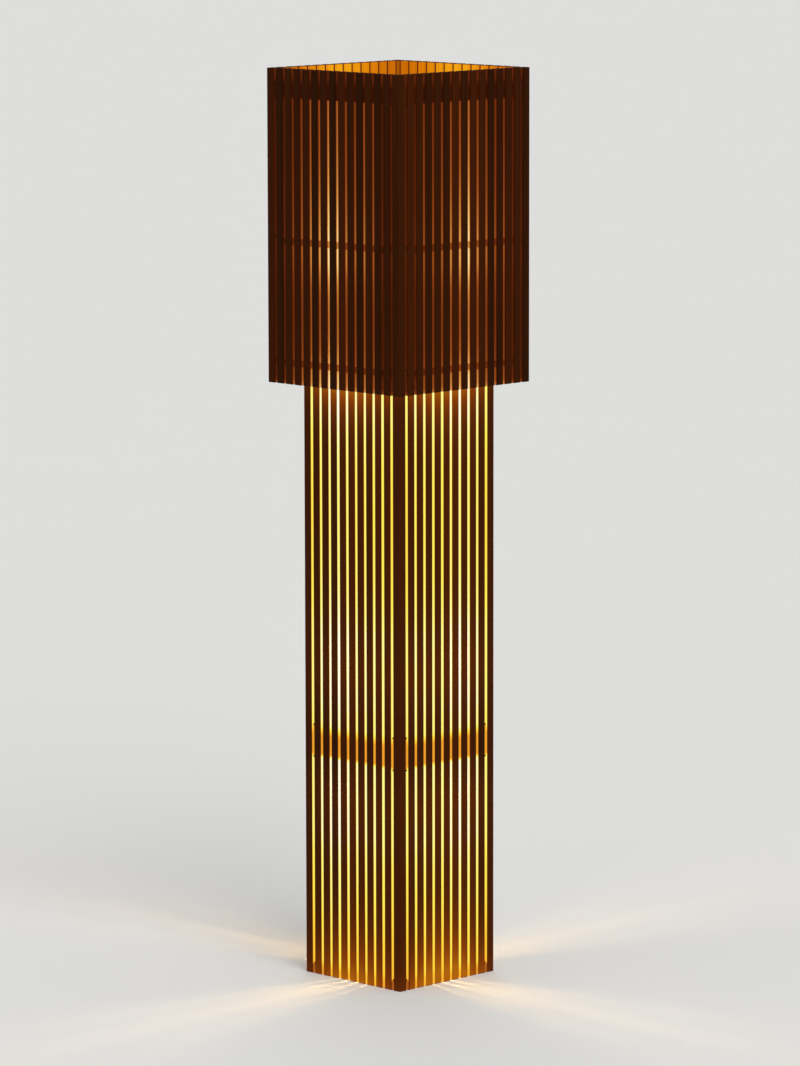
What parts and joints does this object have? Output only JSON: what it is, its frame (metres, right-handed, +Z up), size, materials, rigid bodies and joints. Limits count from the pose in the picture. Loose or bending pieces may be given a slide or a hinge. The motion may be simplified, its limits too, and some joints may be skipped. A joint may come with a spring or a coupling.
{
  "type": "slatted floor lamp",
  "caption": "Wooden floor lamp: a tall square column of thin upright sticks, lit from inside, with a wider open square shade of the same sticks hung over its top.",
  "frame": {"origin": "middle of the footprint, on the floor that the column's sticks stand on", "axes": "+Z up along the column; the four slatted faces look along -Y (front), +X, +Y (back, where the cord leaves) and -X"},
  "size_m": [0.2416, 0.2416, 1.2],
  "materials": {
    "stick_wood": "dark reddish brown, thin satin lacquer",
    "rail_wood": "lighter reddish brown board, thin satin lacquer",
    "bar_wood": "reddish brown, planed",
    "nail_iron": "dark blued iron",
    "nipple_brass": "bright",
    "holder_black": "black moulded",
    "bulb_white": "white moulded",
    "bulb_opal": "opal, lit",
    "lead_black": "matt",
    "clip_black": "matt",
    "block_white": "matt",
    "grommet_rubber": "matt"
  },
  "bodies": {
    "column": {"column_post_front_left": "stick_wood", "column_post_front_right": "stick_wood", "column_post_back_right": "stick_wood", "column_post_back_left": "stick_wood", "column_slats_front": "stick_wood", "column_slats_right": "stick_wood", "column_slats_back": "stick_wood", "column_slats_left": "stick_wood", "column_foot_rail_front": "rail_wood", "column_foot_rail_right": "rail_wood", "column_foot_rail_back": "rail_wood", "column_foot_rail_left": "rail_wood", "column_mid_rail_front": "rail_wood", "column_mid_rail_right": "rail_wood", "column_mid_rail_back": "rail_wood", "column_mid_rail_left": "rail_wood", "column_upper_rail_front": "rail_wood", "column_upper_rail_right": "rail_wood", "column_upper_rail_back": "rail_wood", "column_upper_rail_left": "rail_wood", "column_top_rail_front": "rail_wood", "column_top_rail_right": "rail_wood", "column_top_rail_back": "rail_wood", "column_top_rail_left": "rail_wood", "column_nails": "nail_iron", "lower_lamp_bar": "bar_wood", "upper_lamp_bar": "bar_wood", "lower_nipple": "nipple_brass", "upper_nipple": "nipple_brass", "lampholder_lower_up": "holder_black", "lampholder_lower_down": "holder_black", "lampholder_upper_up": "holder_black", "lampholder_upper_down": "holder_black", "lower_lead": "lead_black", "upper_lead": "lead_black", "lead_clips": "clip_black", "terminal_block": "block_white", "cord_grommet": "grommet_rubber"},
    "shade": {"shade_post_front_left": "stick_wood", "shade_post_front_right": "stick_wood", "shade_post_back_right": "stick_wood", "shade_post_back_left": "stick_wood", "shade_slats_front": "stick_wood", "shade_slats_right": "stick_wood", "shade_slats_back": "stick_wood", "shade_slats_left": "stick_wood", "shade_top_rails": "rail_wood", "shade_mid_rails": "rail_wood", "shade_low_rails": "rail_wood", "shade_nails": "nail_iron", "shade_hanger_front": "bar_wood", "shade_hanger_back": "bar_wood"},
    "bulb_lower_up": {"bulb_base_lower_up": "bulb_white", "bulb_globe_lower_up": "bulb_opal"},
    "bulb_lower_down": {"bulb_base_lower_down": "bulb_white", "bulb_globe_lower_down": "bulb_opal"},
    "bulb_upper_up": {"bulb_base_upper_up": "bulb_white", "bulb_globe_upper_up": "bulb_opal"},
    "bulb_upper_down": {"bulb_base_upper_down": "bulb_white", "bulb_globe_upper_down": "bulb_opal"}
  },
  "joints": [
    {"name": "shade_lift", "type": "slide", "parent": "column", "child": "shade", "axis": [0, 0, 1], "range_m": [0, 0.375]},
    {"name": "bulb_lower_up_turn", "type": "hinge", "parent": "column", "child": "bulb_lower_up", "pos_m": [0, 0, 0.334], "axis": [0, 0, 1], "range_deg": [0, 1080]},
    {"name": "bulb_lower_down_turn", "type": "hinge", "parent": "column", "child": "bulb_lower_down", "pos_m": [0, 0, 0.322], "axis": [0, 0, -1], "range_deg": [0, 1080]},
    {"name": "bulb_upper_up_turn", "type": "hinge", "parent": "column", "child": "bulb_upper_up", "pos_m": [0, 0, 0.897], "axis": [0, 0, 1], "range_deg": [0, 1080]},
    {"name": "bulb_upper_down_turn", "type": "hinge", "parent": "column", "child": "bulb_upper_down", "pos_m": [0, 0, 0.885], "axis": [0, 0, -1], "range_deg": [0, 1080]}
  ]
}
